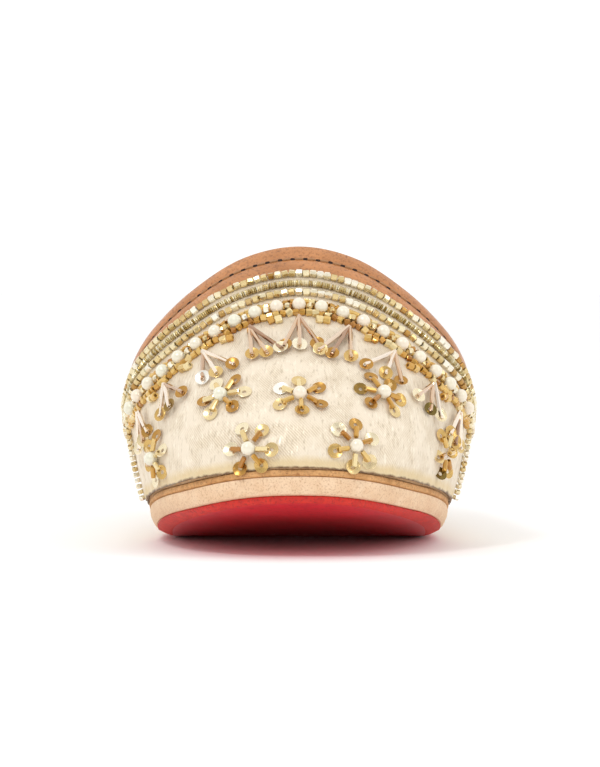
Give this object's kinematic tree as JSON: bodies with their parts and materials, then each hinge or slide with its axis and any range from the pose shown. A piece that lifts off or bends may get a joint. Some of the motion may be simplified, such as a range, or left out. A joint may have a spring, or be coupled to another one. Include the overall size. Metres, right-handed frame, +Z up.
{
  "type": "mojari shoe",
  "caption": "Flat slip-on mojari with a broad round toe, high beaded brocade vamp, closed back, leather topline band and layered leather sole.",
  "frame": {"origin": "on the floor below the middle of the shoe's box", "axes": "+Z up, -Y towards the toe, X across the shoe"},
  "size_m": [0.1028, 0.289, 0.0889],
  "materials": {
    "outsole_leather": "red painted leather, smooth, glossy",
    "midsole_leather": "natural vegetable-tanned leather, cut edge",
    "insole_leather": "tan leather board, matt",
    "brocade": "cream brocade with a champagne metallic sheen",
    "band_leather": "tan vegetable-tanned leather, satin",
    "lining_leather": "natural lining leather, matt",
    "gold_bead": "silver-lined gold glass",
    "gold_wire": "bright gilt wire and sequins",
    "pearl": "pearl lustre",
    "thread": "waxed cotton thread"
  },
  "bodies": {
    "root": {"outsole": "outsole_leather", "midsole": "midsole_leather", "insole": "insole_leather", "upper": "brocade", "topline_band": "band_leather"}
  },
  "joints": []
}
